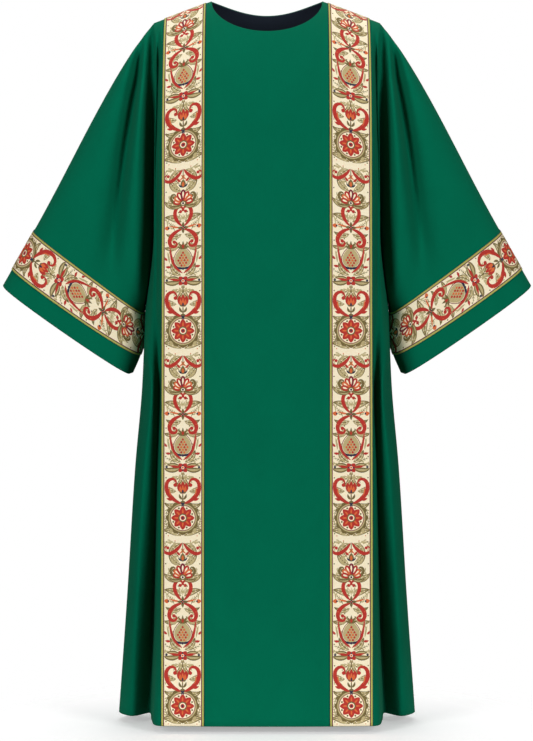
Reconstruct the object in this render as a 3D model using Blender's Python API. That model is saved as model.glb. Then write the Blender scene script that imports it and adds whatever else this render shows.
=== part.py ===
"""A dalmatic, filled out as it is worn: a hollow garment of thin cloth walls.

The frame: metres, +Z up, the front faces -Y. The origin lies midway between the shoulders, at
the height where they carry the cloth. The garment is the same on both sides of X = 0, so each
piece is worked out on the side of +X and then mirrored.
"""

import math
from collections import namedtuple

import bmesh
import bpy
import numpy as np

MM = 0.001

# Walls and seams
CLOTH_WALL = 1.6 * MM
BAND_WALL = 1.2 * MM
FACING_WALL = 1.0 * MM
SEAM_GAP = 0.3 * MM

# Shoulders and neck
NECK_POINT_X = 104 * MM
NECK_POINT_Z = 22 * MM
SHOULDER_FALL = 0.378  # how far the shoulder seam falls for each metre outwards
FRONT_NECK_DROP = 68 * MM
BACK_NECK_DROP = 18 * MM
BACK_NECK_SQUARENESS = 3.0

# Heights
UNDERARM_Z = -540 * MM
HEM_Z = -1313 * MM

# Orphrey bands, from the centre line outwards
BAND_INNER_X = 113.5 * MM
BAND_OUTER_X = 191.5 * MM
PANEL_CROWN = 6 * MM  # the panel's middle stands this much prouder than the bands' outer edges

# How the cloth rounds over the shoulder, front and back
ROUNDING_POWER = 1.7
ROUNDING_REACH = {"front": 260 * MM, "back": 200 * MM}

# One level section of a half panel, in millimetres: the panel's depth in front of the shoulder
# line, or behind it, at the centre, and then X and depth of the points that the cloth passes
# through from the band's outer edge towards the side.
Section = namedtuple("Section", "z depth corner_x corner_y turn_x turn_y valley_x valley_y lobe_x lobe_y")
SECTIONS = {
    "front": (
        Section(-1313, 150, 205, 131, 213, 72, 221, -4, 250, 33),
        Section(-1100, 144, 200, 134, 206, 100, 212, 58, 239, 76),
        Section(-850, 137, 197, 126, 200, 112, 204, 98, 223, 101),
        Section(-700, 133, 195, 120, 197, 114, 200, 109, 210, 108),
        Section(-620, 131, 196, 119, 200, 111, 206, 101, 221, 76),
        Section(-560, 129, 196, 118, 201, 110, 207, 98, 217, 66),
        Section(-472, 127, 197, 116, 202, 106, 207, 92, 210, 62),
        Section(-420, 125, 197, 115, 202, 105, 206, 91, 209, 66),
        Section(-330, 122, 197, 113, 201, 104, 205, 92, 208, 74),
        Section(-220, 118, 196, 111, 200, 104, 203, 94, 206, 82),
        Section(-135, 118, 196, 111, 199, 107, 202, 100, 204, 92),
        Section(-80, 118, 196, 112, 199, 109, 202, 105, 204, 100),
        Section(-15, 118, 197, 112, 201, 109, 205, 106, 209, 102),
    ),
    "back": (
        Section(-1313, 150, 206, 134, 214, 92, 223, 44, 252, 78),
        Section(-1100, 141, 200, 129, 206, 99, 213, 62, 241, 82),
        Section(-850, 128, 197, 118, 201, 105, 206, 93, 224, 96),
        Section(-700, 122, 196, 111, 201, 105, 209, 98, 224, 84),
        Section(-655, 120, 196, 109, 202, 102, 213, 92, 230, 70),
        Section(-615, 119, 196, 108, 202, 100, 215, 88, 236, 60),
        Section(-580, 118, 196, 107, 202, 99, 214, 88, 235, 60),
        Section(-558, 118, 196, 107, 201, 98, 210, 87, 228, 60),
        Section(-535, 117, 196, 107, 201, 98, 207, 87, 215, 62),
        Section(-472, 115, 197, 105, 202, 96, 207, 82, 210, 56),
        Section(-420, 115, 197, 105, 202, 96, 206, 83, 209, 60),
        Section(-330, 117, 197, 107, 201, 98, 205, 86, 208, 68),
        Section(-220, 118, 196, 110, 200, 102, 203, 91, 206, 78),
        Section(-135, 115, 196, 109, 199, 104, 202, 96, 204, 86),
        Section(-80, 112, 196, 106, 199, 103, 202, 99, 204, 93),
        Section(-15, 112, 197, 106, 201, 103, 205, 100, 209, 96),
    ),
}

# The side: above the underarm each panel ends at the armhole seam, and below it at the side
# seam, which both panels share. The armhole's depths close over a round at the underarm.
Armhole = namedtuple("Armhole", "z x front_y back_y")
ARMHOLE = (
    Armhole(-540, 226.5, 36, 34),
    Armhole(-500, 219, 36, 34),
    Armhole(-450, 212, 37, 35),
    Armhole(-400, 209, 39, 37),
    Armhole(-330, 208, 44, 41),
    Armhole(-220, 206, 54, 50),
    Armhole(-135, 205, 72, 66),
    Armhole(-80, 206, 90, 82),
    Armhole(-15, 213, 97, 90),
)
UNDERARM_ROUND = 80 * MM
SideSeam = namedtuple("SideSeam", "z x y")
SIDE_SEAM = (
    SideSeam(-1313, 279, 20),
    SideSeam(-1100, 263, 5),
    SideSeam(-850, 247, 0),
    SideSeam(-700, 234, 0),
    SideSeam(-650, 231.5, 0),
    SideSeam(-600, 229.5, 0),
    SideSeam(-560, 228.5, 0),
    SideSeam(-540, 226.5, 0),
)

# Sleeve, seen from the front: the cuff's two ends and its edge's bow
CUFF_TOP = (492 * MM, -507 * MM)
CUFF_BOTTOM = (251 * MM, -674 * MM)
CUFF_BOW = {"front": 10 * MM, "back": 6 * MM}
CUFF_BOW_POWER = 0.4
SLEEVE_ROUNDNESS = 0.76
SHOULDER_START = (0.60, -0.80)  # the way the sleeve's top fold leaves the shoulder
UNDERARM_START = (0.25, -0.97)  # the way its lower fold leaves the underarm
SLEEVE_TOP_FROM = (213 * MM, -19 * MM)  # where the top fold's straight stretch would start
SLEEVE_LOW_WAY = (0.17, -0.985)  # the way the underarm fold crosses the band
LOW_BOW = 8 * MM  # how far that fold bows towards the body
CUFF_STRIP = 35 * MM
SLEEVE_BAND_WIDTH = 82 * MM

# Half depth of the sleeve's bulge along its length: 0 is the armhole, 1 the band's upper
# border and 2 the cuff.
Bulge = namedtuple("Bulge", "along half_depth")
SLEEVE_BULGE = (
    Bulge(0.0, 84),
    Bulge(0.15, 92),
    Bulge(0.5, 86),
    Bulge(1.0, 75),
    Bulge(2.0, 68),
)
BULGE_START = 0.12
MOST_FOLD = 0.6  # a drape fold takes at most this share of the sleeve's depth

# Drape folds on the sleeves, as troughs along a line in the front view, in millimetres
Fold = namedtuple("Fold", "face x_top z_top x_low z_low bow width_top width_low deep_top deep_low")
FOLDS = (
    Fold("front", 229, -84, 290, -430, 5, 11, 26, 15, 4),
    Fold("back", 233, -92, 302, -440, 6, 13, 28, 13, 4),
)
FOLD_FADE = 0.14  # the share of a fold's length over which it fades in at the top

# Grid lines. The sleeve's rows are 0 at the armhole, 1 at the band's upper border and 2 at the cuff.
CENTRE_COLUMNS = (0, 38 * MM, 70 * MM, 92 * MM, NECK_POINT_X)
BAND_COLUMNS = (BAND_INNER_X, 139.5 * MM, 165.5 * MM, BAND_OUTER_X)
SIDE_COLUMNS = 10
UPPER_ROWS = 12
LOWER_ROWS = 10
UPPER_ROW_POWER = 1.25
COLUMN_SAMPLES = 160  # places measured along a column to space its rows
SAMPLE_POWER = 3  # they lie closer together near the shoulder
SLEEVE_ROWS = (0, 0.03, 0.07, 0.12, 0.21, 0.34, 0.49, 0.65, 0.82)
SLEEVE_BAND_ROWS = (1.0, 1.24, 1.48, 1.70)
CUFF_ROWS = (1.85, 2.0)
FACING_ROWS = 2

# Finish: colour, roughness
GREEN = ((0.003, 0.135, 0.075, 1.0), 0.75)
GALLOON = ((0.75, 0.62, 0.40, 1.0), 0.6)
NAVY = ((0.015, 0.022, 0.035, 1.0), 0.7)


def slopes_of(knots, values):
    """Slopes for a smooth curve through the values that never overshoots them."""
    step = np.diff(knots)
    rise = np.diff(values, axis=0) / step[:, None]
    slopes = np.zeros_like(values)
    slopes[0], slopes[-1] = rise[0], rise[-1]
    for i in range(1, len(knots) - 1):
        before, after = rise[i - 1], rise[i]
        same_way = before * after > 0
        first = 2 * step[i] + step[i - 1]
        second = step[i] + 2 * step[i - 1]
        safe_before = np.where(same_way, before, 1.0)
        safe_after = np.where(same_way, after, 1.0)
        mean = (first + second) / (first / safe_before + second / safe_after)
        slopes[i] = np.where(same_way, mean, 0.0)
    return slopes


def smooth_through(knots, values, at):
    """Values read at one place from the smooth curve through a table."""
    knots = np.asarray(knots, float)
    values = np.asarray(values, float)
    slopes = slopes_of(knots, values)
    at = min(max(at, knots[0]), knots[-1])
    i = min(int(np.searchsorted(knots, at, side="right")) - 1, len(knots) - 2)
    width = knots[i + 1] - knots[i]
    s = (at - knots[i]) / width
    return (
        (1 + 2 * s) * (1 - s) ** 2 * values[i]
        + s * (1 - s) ** 2 * width * slopes[i]
        + s * s * (3 - 2 * s) * values[i + 1]
        + s * s * (s - 1) * width * slopes[i + 1]
    )


def ease(x):
    """0 before 0, 1 after 1, and a smooth step between."""
    x = min(max(x, 0.0), 1.0)
    return x * x * (3 - 2 * x)


def shoulder_height(x):
    """Height of the shoulder seam's line, which also runs on over the neck opening, where it
    levels out."""
    if x >= NECK_POINT_X:
        return NECK_POINT_Z - SHOULDER_FALL * (x - NECK_POINT_X)
    return NECK_POINT_Z + SHOULDER_FALL * (NECK_POINT_X**2 - x * x) / (2 * NECK_POINT_X)


def neck_height(face, x):
    """Height of the neck's edge at X."""
    around = math.sqrt(max(0.0, 1 - (x / NECK_POINT_X) ** 2))
    if face == "front":
        return NECK_POINT_Z - FRONT_NECK_DROP * around
    return NECK_POINT_Z - BACK_NECK_DROP * around**BACK_NECK_SQUARENESS


def rounding(face, below):
    """How much of its full depth the cloth has at this distance below the shoulder."""
    left = 1 - min(max(below / ROUNDING_REACH[face], 0.0), 1.0)
    return (1 - left**ROUNDING_POWER) ** (1 / ROUNDING_POWER)


def row_at(table, z):
    """A table's row at a height, in metres."""
    heights = [row.z * MM for row in table]
    return type(table[0])(*smooth_through(heights, np.array(table) * MM, z))


def side_at(face, z):
    """X and depth of the panel's side edge at a height."""
    if z > UNDERARM_Z:
        row = row_at(ARMHOLE, z)
        closing = math.sqrt(min((z - UNDERARM_Z) / UNDERARM_ROUND, 1.0))
        return row.x, (row.front_y if face == "front" else row.back_y) * closing
    row = row_at(SIDE_SEAM, z)
    return row.x, -row.y if face == "front" else row.y


def full_depth_point(face, column, z):
    """X and full depth of a column at a height. Columns 0 to 1 cross the flat panel, and
    columns 1 to 2 go on round the side folds."""
    row = row_at(SECTIONS[face], z)
    edge_depth = row.depth - PANEL_CROWN
    if column <= 1:
        return column * BAND_OUTER_X, row.depth - PANEL_CROWN * column**2
    side_x, side_y = side_at(face, z)
    points = (
        (2 * BAND_OUTER_X - row.corner_x, edge_depth + MM),
        (BAND_OUTER_X, edge_depth),
        (row.corner_x, row.corner_y),
        (row.turn_x, row.turn_y),
        (row.valley_x, row.valley_y),
        (row.lobe_x, row.lobe_y),
        (side_x, side_y),
        (row.lobe_x, 2 * side_y - row.lobe_y),
    )
    spans = len(points) - 3
    knots = [(i - 1) / spans for i in range(len(points))]
    x, depth = smooth_through(knots, points, column - 1)
    return x, depth


def column_top(face, column):
    """Heights of a column's top edge and of the shoulder line that its rounding starts from."""
    if column <= 1:
        x = column * BAND_OUTER_X
    else:
        x = full_depth_point(face, column, 0.0)[0]
    ridge = shoulder_height(x)
    if x < NECK_POINT_X:
        return neck_height(face, x), ridge
    return ridge, ridge


def panel_point(face, column, z, ridge):
    """A point of the panel's outer surface, on the side of +X."""
    x, depth = full_depth_point(face, column, z)
    depth *= rounding(face, ridge - z)
    return np.array((x, -depth if face == "front" else depth, z))


def spaced_along(points, shares):
    """Points at these shares of the length of a line."""
    steps = np.linalg.norm(np.diff(points, axis=0), axis=1)
    along = np.concatenate(([0], np.cumsum(steps)))
    at = np.array(shares) * along[-1]
    return np.stack([np.interp(at, along, points[:, k]) for k in range(3)], axis=1)


def panel_column(face, column):
    """A column of the panel, from its top edge to the hem."""
    top, ridge = column_top(face, column)
    shares = [(i / COLUMN_SAMPLES) ** SAMPLE_POWER for i in range(COLUMN_SAMPLES + 1)]
    heights = [top + (UNDERARM_Z - top) * share for share in shares]
    dense = np.array([panel_point(face, column, z, ridge) for z in heights])
    upper = spaced_along(
        dense, [(i / UPPER_ROWS) ** UPPER_ROW_POWER for i in range(UPPER_ROWS + 1)]
    )
    lower = [
        panel_point(face, column, UNDERARM_Z + (HEM_Z - UNDERARM_Z) * i / LOWER_ROWS, ridge)
        for i in range(1, LOWER_ROWS + 1)
    ]
    return np.concatenate((upper, lower))


def half_columns():
    """The columns of a half panel, from the centre to the side seam."""
    flat = [x / BAND_OUTER_X for x in CENTRE_COLUMNS + BAND_COLUMNS]
    return flat + [1 + (i + 1) / SIDE_COLUMNS for i in range(SIDE_COLUMNS)]


def panel_grid(face):
    """Rows and columns of a whole panel, from the side seam at -X to the one at +X."""
    half = np.stack([panel_column(face, c) for c in half_columns()], axis=1)
    mirrored = half[:, :0:-1] * np.array((-1, 1, 1))
    return np.concatenate((mirrored, half), axis=1)


def fold_depth(face, x, z):
    """How far the sleeve's drape folds sink in at a place in the front view."""
    total = 0.0
    for fold in FOLDS:
        if fold.face != face:
            continue
        along = (z / MM - fold.z_top) / (fold.z_low - fold.z_top)
        if not 0 < along < 1:
            continue
        middle = fold.x_top + (fold.x_low - fold.x_top) * along
        middle += fold.bow * math.sin(math.pi * along)
        width = fold.width_top + (fold.width_low - fold.width_top) * along
        deep = fold.deep_top + (fold.deep_low - fold.deep_top) * along
        deep *= ease(along / FOLD_FADE) * ease((1 - along) / (2 * FOLD_FADE))
        total += deep * math.exp(-(((x / MM - middle) / width) ** 2))
    return total * MM


def sleeve_column(face, start, share):
    """One line of the sleeve from its armhole point to the cuff. The share is 0 on the top
    fold and 1 on the underarm seam."""
    round_by = math.sin(math.acos(1 - 2 * share)) if 0 < share < 1 else 0.0
    top, bottom = np.array(CUFF_TOP), np.array(CUFF_BOTTOM)
    chord = bottom - top
    outwards = unit(np.array((-chord[1], chord[0])))
    cuff = top + chord * share + outwards * CUFF_BOW[face] * round_by**CUFF_BOW_POWER
    start_flat = np.array((start[0], start[2]))
    top_way = unit(top - np.array(SLEEVE_TOP_FROM))
    way = unit(top_way + (np.array(SLEEVE_LOW_WAY) - top_way) * share)
    border = cuff - way * (CUFF_STRIP + SLEEVE_BAND_WIDTH)
    reach = np.linalg.norm(border - start_flat)
    leave = (border - start_flat) / reach
    leave = leave + (np.array(SHOULDER_START) - leave) * (1 - share) ** 3
    leave = leave + (np.array(UNDERARM_START) - leave) * share**3
    knots = [row.along for row in SLEEVE_BULGE]
    depths = [[row.half_depth * MM] for row in SLEEVE_BULGE]
    line = []
    for t in SLEEVE_ROWS + SLEEVE_BAND_ROWS + CUFF_ROWS:
        if t <= 1:
            flat = (
                (1 + 2 * t) * (1 - t) ** 2 * start_flat
                + t * (1 - t) ** 2 * reach * leave
                + t * t * (3 - 2 * t) * border
                + t * t * (t - 1) * reach * way
            )
        else:
            flat = border + (cuff - border) * (t - 1)
            flat -= np.array((LOW_BOW * share**4 * math.sin(math.pi * (t - 1)), 0))
        bulge = smooth_through(knots, depths, t)[0] * round_by**SLEEVE_ROUNDNESS
        blend = 1 - (1 - min(t / BULGE_START, 1.0)) ** 2
        depth = abs(start[1]) * (1 - blend) + bulge * blend
        depth -= min(fold_depth(face, flat[0], flat[1]) * blend, MOST_FOLD * depth)
        line.append((flat[0], -depth if face == "front" else depth, flat[1]))
    return np.array(line)


def sleeve_grid(front, back):
    """Rows and rings of the sleeve on the side of +X. Its first row lies on the armhole edges of
    the two panels: down the front to the underarm and up the back."""
    loops = []
    for face, panel in (("front", front), ("back", back)):
        seam = panel[: UPPER_ROWS + 1, -1]
        steps = np.linalg.norm(np.diff(seam, axis=0), axis=1)
        shares = np.concatenate(([0], np.cumsum(steps))) / steps.sum()
        loops.append([sleeve_column(face, p, s) for p, s in zip(seam, shares)])
    around = loops[0] + loops[1][-2:0:-1]
    return np.stack(around, axis=1)


def normals_of(grid, sign, ring=False):
    """Outward directions at a grid's points."""
    if ring:
        grid = np.concatenate((grid[:, -1:], grid, grid[:, :1]), axis=1)
    down = np.gradient(grid, axis=0)
    across = np.gradient(grid, axis=1)
    out = np.cross(down, across) * sign
    out /= np.maximum(np.linalg.norm(out, axis=2, keepdims=True), 1e-12)
    return out[:, 1:-1] if ring else out


def unit(vectors):
    return vectors / np.linalg.norm(vectors, axis=-1, keepdims=True)


def meeting_places(grids):
    """Where pieces meet along the seams. Each place lists its pieces, as the piece, its point on
    the seam and a point further inside it, and the axis of the first piece that the seam
    follows, or None at a corner."""
    last = grids["front"].shape[1] - 1
    under = UPPER_ROWS
    places = []
    for column in range(1, last):
        if abs(grids["front"][0, column, 0]) > NECK_POINT_X - SEAM_GAP:
            members = [(panel, (0, column), (1, column)) for panel in ("front", "back")]
            places.append((members, 1))
    for sleeve, column, inside in (("sleeve_left", 0, 1), ("sleeve_right", last, last - 1)):
        for row in range(1, len(grids["front"]) - 1):
            members = [(panel, (row, column), (row, inside)) for panel in ("front", "back")]
            if row > under:
                places.append((members, 0))
            elif row < under:
                rings = (sleeve, (0, row), (1, row)), (sleeve, (0, -row), (1, -row))
                places += [([member, ring], 0) for member, ring in zip(members, rings)]
        for row, inner in ((0, 1), (under, under), (len(grids["front"]) - 1,) * 2):
            members = [(panel, (row, column), (inner, inside)) for panel in ("front", "back")]
            if row <= under:
                members.append((sleeve, (0, row), (1, row)))
            places.append((members, None))
    return places


def join_at_seams(grids, outs):
    """Pieces that meet at a seam share one wall direction there, so that their edges stay
    parallel, and are drawn apart by the seam gap."""
    moves = []
    for members, axis in meeting_places(grids):
        directions = [outs[piece][edge] for piece, edge, _ in members]
        mean = unit(directions[0] + directions[1])
        if len(members) == 3:
            mean = unit(mean + directions[2])
        inwards = [unit(grids[piece][inner] - grids[piece][edge]) for piece, edge, inner in members]
        for i, (piece, edge, _) in enumerate(members):
            others = [way for k, way in enumerate(inwards) if k != i]
            way = inwards[i] - sum(others) / len(others)
            if axis is not None:
                first, seam, _ = members[0]
                step = np.eye(2, dtype=int)[axis]
                line = grids[first][tuple(seam + step)] - grids[first][tuple(seam - step)]
                across = np.cross(line, mean)
                way = across * np.sign(across @ way)
            moves.append((piece, edge, mean, unit(way) * SEAM_GAP / 2))
    for piece, edge, mean, move in moves:
        outs[piece][edge] = mean
        grids[piece][edge] += move


def wall_mesh(name, outer, inner, ring=False):
    """A closed wall between two grids of points, split along the same diagonals as every other
    wall on the same grid."""
    rows, columns = outer.shape[:2]
    size = rows * columns
    verts = np.concatenate((outer.reshape(-1, 3), inner.reshape(-1, 3)))
    middle = 0 if ring else (columns - 1) / 2
    faces = []

    def at(i, j, layer):
        return layer * size + i * columns + j % columns

    spans = columns if ring else columns - 1
    for i in range(rows - 1):
        for j in range(spans):
            for layer in (0, 1):
                a, b = at(i, j, layer), at(i, j + 1, layer)
                c, d = at(i + 1, j + 1, layer), at(i + 1, j, layer)
                pair = [(a, d, b), (b, d, c)] if j >= middle else [(a, d, c), (a, c, b)]
                faces += pair if layer == 0 else [t[::-1] for t in pair]
    for j in range(spans):
        for i, turn in ((0, 1), (rows - 1, -1)):
            a, b = at(i, j, 0), at(i, j + 1, 0)
            c, d = at(i, j + 1, 1), at(i, j, 1)
            faces += [(a, b, c)[::turn], (a, c, d)[::turn]]
    if not ring:
        for i in range(rows - 1):
            for j, turn in ((0, -1), (columns - 1, 1)):
                a, b = at(i, j, 0), at(i + 1, j, 0)
                c, d = at(i + 1, j, 1), at(i, j, 1)
                faces += [(a, b, c)[::-turn], (a, c, d)[::-turn]]
    mesh = bpy.data.meshes.new(name)
    mesh.from_pydata(verts.tolist(), [], [tuple(map(int, f)) for f in faces])
    work = bmesh.new()
    work.from_mesh(mesh)
    bmesh.ops.recalc_face_normals(work, faces=work.faces)
    if work.calc_volume(signed=True) < 0:
        bmesh.ops.reverse_faces(work, faces=work.faces)
    work.to_mesh(mesh)
    work.free()
    return mesh


def material(name, finish):
    made = bpy.data.materials.new(name)
    made.use_nodes = True
    shader = made.node_tree.nodes["Principled BSDF"]
    shader.inputs["Base Color"].default_value = finish[0]
    shader.inputs["Roughness"].default_value = finish[1]
    made.diffuse_color = finish[0]
    return made


def add_wall(name, grid, directions, rise, wall, finish, ring=False):
    """Adds one piece: its outer side stands rise above the grid, and wall is its thickness."""
    outer = grid + directions * rise
    inner = grid + directions * (rise - wall)
    mesh = wall_mesh(name, outer, inner, ring)
    mesh.materials.append(material(name, finish))
    mesh.shade_smooth()
    piece = bpy.data.objects.new(name, mesh)
    bpy.context.scene.collection.objects.link(piece)
    return piece


def over_shoulder(front, back, columns):
    """A strip's grid from the front hem over the shoulder to the back hem."""
    ridge = (front[:1, columns] + back[:1, columns]) / 2
    return np.concatenate((front[:0:-1, columns], ridge, back[1:, columns]))


def build():
    for old in list(bpy.data.objects):
        bpy.data.objects.remove(old)
    mirror = np.array((-1, 1, 1))

    front, back = panel_grid("front"), panel_grid("back")
    right = sleeve_grid(front, back)
    right_out = normals_of(right, -1, ring=True)
    grids = {"front": front, "back": back, "sleeve_left": right * mirror, "sleeve_right": right}
    outs = {
        "front": normals_of(front, 1),
        "back": normals_of(back, -1),
        "sleeve_left": right_out * mirror,
        "sleeve_right": right_out,
    }
    join_at_seams(grids, outs)

    for name in ("front", "back"):
        add_wall(name, grids[name], outs[name], 0, CLOTH_WALL, GREEN)
    centre = front.shape[1] // 2
    first = centre + len(CENTRE_COLUMNS)
    band = np.arange(first, first + len(BAND_COLUMNS))
    start = len(SLEEVE_ROWS)
    around = slice(start, start + len(SLEEVE_BAND_ROWS))
    proud = SEAM_GAP + BAND_WALL
    for side, columns in (("left", 2 * centre - band[::-1]), ("right", band)):
        sleeve = "sleeve_" + side
        add_wall(sleeve, grids[sleeve], outs[sleeve], 0, CLOTH_WALL, GREEN, ring=True)
        strip = over_shoulder(front, back, columns)
        strip_out = unit(over_shoulder(outs["front"], outs["back"], columns))
        add_wall("orphrey_" + side, strip, strip_out, proud, BAND_WALL, GALLOON)
        band_grid, band_out = grids[sleeve][around], outs[sleeve][around]
        add_wall("sleeve_band_" + side, band_grid, band_out, proud, BAND_WALL, GALLOON, ring=True)
    neck = slice(centre - len(CENTRE_COLUMNS) + 1, centre + len(CENTRE_COLUMNS))
    rows = slice(0, FACING_ROWS + 1)
    below = -(CLOTH_WALL + SEAM_GAP)
    add_wall("neck_facing", back[rows, neck], outs["back"][rows, neck], below, FACING_WALL, NAVY)


build()
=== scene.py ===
import math
from collections import namedtuple

import bmesh
import bpy
import numpy as np
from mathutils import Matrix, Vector
from mathutils.geometry import delaunay_2d_cdt


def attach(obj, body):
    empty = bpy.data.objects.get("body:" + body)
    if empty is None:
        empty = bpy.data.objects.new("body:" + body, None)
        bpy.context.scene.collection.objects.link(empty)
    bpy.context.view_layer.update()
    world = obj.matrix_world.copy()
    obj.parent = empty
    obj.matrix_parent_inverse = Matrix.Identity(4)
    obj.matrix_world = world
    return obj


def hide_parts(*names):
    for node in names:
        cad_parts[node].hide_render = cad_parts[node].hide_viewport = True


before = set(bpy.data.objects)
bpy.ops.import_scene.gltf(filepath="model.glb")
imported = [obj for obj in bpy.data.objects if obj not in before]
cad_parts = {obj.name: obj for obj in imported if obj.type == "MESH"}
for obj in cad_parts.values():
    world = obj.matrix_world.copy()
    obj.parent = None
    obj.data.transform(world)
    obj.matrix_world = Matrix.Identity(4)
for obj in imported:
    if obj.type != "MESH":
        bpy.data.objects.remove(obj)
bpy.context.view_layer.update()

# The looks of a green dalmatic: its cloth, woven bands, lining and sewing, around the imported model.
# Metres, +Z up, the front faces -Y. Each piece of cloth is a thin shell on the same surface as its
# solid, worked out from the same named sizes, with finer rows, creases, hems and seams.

MM = 0.001
MIRROR = np.array((-1, 1, 1))


def table(columns, *rows):
    """Rows under named columns."""
    row_type = namedtuple("Row", columns)
    return tuple(row_type(*row) for row in rows)


# Walls and seams
CLOTH_WALL = 1.6 * MM
BAND_WALL = 1.2 * MM
FACING_WALL = 1.0 * MM
SEAM_GAP = 0.3 * MM
SEAM_SINK = 0.7 * MM  # how deep a seam lies below the cloth beside it
HEM_TURN_UP = 30 * MM
HEM_EXTRA = 1.0 * MM  # the turned-up layer's thickness, on the inside
HEM_STEP = 4 * MM  # over this length the wall grows to its thickness at the hem
EDGE_ROUND = 0.5  # how far a free edge bulges, as a share of its thickness

# Shoulders and neck
NECK_POINT_X = 104 * MM
NECK_POINT_Z = 22 * MM
SHOULDER_FALL = 0.378
FRONT_NECK_DROP = 68 * MM
BACK_NECK_DROP = 18 * MM
BACK_NECK_SQUARENESS = 3.0

# Heights
UNDERARM_Z = -540 * MM
HEM_Z = -1313 * MM

# Orphrey bands, from the centre line outwards
BAND_INNER_X = 113.5 * MM
BAND_OUTER_X = 191.5 * MM
PANEL_CROWN = 6 * MM

# How the cloth rounds over the shoulder
ROUNDING_POWER = 1.7
ROUNDING_REACH = {"front": 260 * MM, "back": 200 * MM}

# Level sections of a half panel, in millimetres, as in the solids
SECTION_COLUMNS = "z depth corner_x corner_y turn_x turn_y valley_x valley_y lobe_x lobe_y"
SECTIONS = {
    "front": table(
        SECTION_COLUMNS,
        (-1313, 150, 205, 131, 213, 72, 221, -4, 250, 33),
        (-1100, 144, 200, 134, 206, 100, 212, 58, 239, 76),
        (-850, 137, 197, 126, 200, 112, 204, 98, 223, 101),
        (-700, 133, 195, 120, 197, 114, 200, 109, 210, 108),
        (-620, 131, 196, 119, 200, 111, 206, 101, 221, 76),
        (-560, 129, 196, 118, 201, 110, 207, 98, 217, 66),
        (-472, 127, 197, 116, 202, 106, 207, 92, 210, 62),
        (-420, 125, 197, 115, 202, 105, 206, 91, 209, 66),
        (-330, 122, 197, 113, 201, 104, 205, 92, 208, 74),
        (-220, 118, 196, 111, 200, 104, 203, 94, 206, 82),
        (-135, 118, 196, 111, 199, 107, 202, 100, 204, 92),
        (-80, 118, 196, 112, 199, 109, 202, 105, 204, 100),
        (-15, 118, 197, 112, 201, 109, 205, 106, 209, 102),
    ),
    "back": table(
        SECTION_COLUMNS,
        (-1313, 150, 206, 134, 214, 92, 223, 44, 252, 78),
        (-1100, 141, 200, 129, 206, 99, 213, 62, 241, 82),
        (-850, 128, 197, 118, 201, 105, 206, 93, 224, 96),
        (-700, 122, 196, 111, 201, 105, 209, 98, 224, 84),
        (-655, 120, 196, 109, 202, 102, 213, 92, 230, 70),
        (-615, 119, 196, 108, 202, 100, 215, 88, 236, 60),
        (-580, 118, 196, 107, 202, 99, 214, 88, 235, 60),
        (-558, 118, 196, 107, 201, 98, 210, 87, 228, 60),
        (-535, 117, 196, 107, 201, 98, 207, 87, 215, 62),
        (-472, 115, 197, 105, 202, 96, 207, 82, 210, 56),
        (-420, 115, 197, 105, 202, 96, 206, 83, 209, 60),
        (-330, 117, 197, 107, 201, 98, 205, 86, 208, 68),
        (-220, 118, 196, 110, 200, 102, 203, 91, 206, 78),
        (-135, 115, 196, 109, 199, 104, 202, 96, 204, 86),
        (-80, 112, 196, 106, 199, 103, 202, 99, 204, 93),
        (-15, 112, 197, 106, 201, 103, 205, 100, 209, 96),
    ),
}

# The armhole's edge and the side seam, in millimetres
ARMHOLE = table(
    "z x front_y back_y",
    (-540, 226.5, 36, 34),
    (-500, 219, 36, 34),
    (-450, 212, 37, 35),
    (-400, 209, 39, 37),
    (-330, 208, 44, 41),
    (-220, 206, 54, 50),
    (-135, 205, 72, 66),
    (-80, 206, 90, 82),
    (-15, 213, 97, 90),
)
UNDERARM_ROUND = 80 * MM
SIDE_SEAM = table(
    "z x y",
    (-1313, 279, 20),
    (-1100, 263, 5),
    (-850, 247, 0),
    (-700, 234, 0),
    (-650, 231.5, 0),
    (-600, 229.5, 0),
    (-560, 228.5, 0),
    (-540, 226.5, 0),
)

# Sleeve, seen from the front
CUFF_TOP = (492 * MM, -507 * MM)
CUFF_BOTTOM = (251 * MM, -674 * MM)
CUFF_BOW = {"front": 10 * MM, "back": 6 * MM}
CUFF_BOW_POWER = 0.4
SLEEVE_ROUNDNESS = 0.76
SHOULDER_START = (0.60, -0.80)
UNDERARM_START = (0.25, -0.97)
SLEEVE_TOP_FROM = (213 * MM, -19 * MM)
SLEEVE_LOW_WAY = (0.19, -0.982)  # with the bow, hangs nearer the body than the solid's
LOW_BOW = 10 * MM
LOW_BOW_POWER = 4
CUFF_STRIP = 35 * MM
SLEEVE_BAND_WIDTH = 82 * MM
BAND_END = 1 + SLEEVE_BAND_WIDTH / (CUFF_STRIP + SLEEVE_BAND_WIDTH)
SLEEVE_BULGE = table(
    "along half_depth",
    (0.0, 84),
    (0.15, 92),
    (0.5, 86),
    (1.0, 75),
    (2.0, 68),
)
BULGE_START = 0.12
LEAVE_POWER = 3  # how fast the cloth turns from the seam's way to the cuff's
MOST_FOLD = 0.85  # a fold takes at most this share of the cloth's depth

# Troughs along a line in the front view, in millimetres. Below zero they are ridges.
FOLD_COLUMNS = "face x_top z_top x_low z_low bow width_top width_low deep_top deep_low"
SLEEVE_FOLDS = table(
    FOLD_COLUMNS,
    ("front", 229, -84, 290, -430, 5, 11, 26, 15, 4),
    ("back", 233, -92, 302, -440, 6, 13, 28, 13, 4),
)
FOLD_FADE = 0.14

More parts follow.
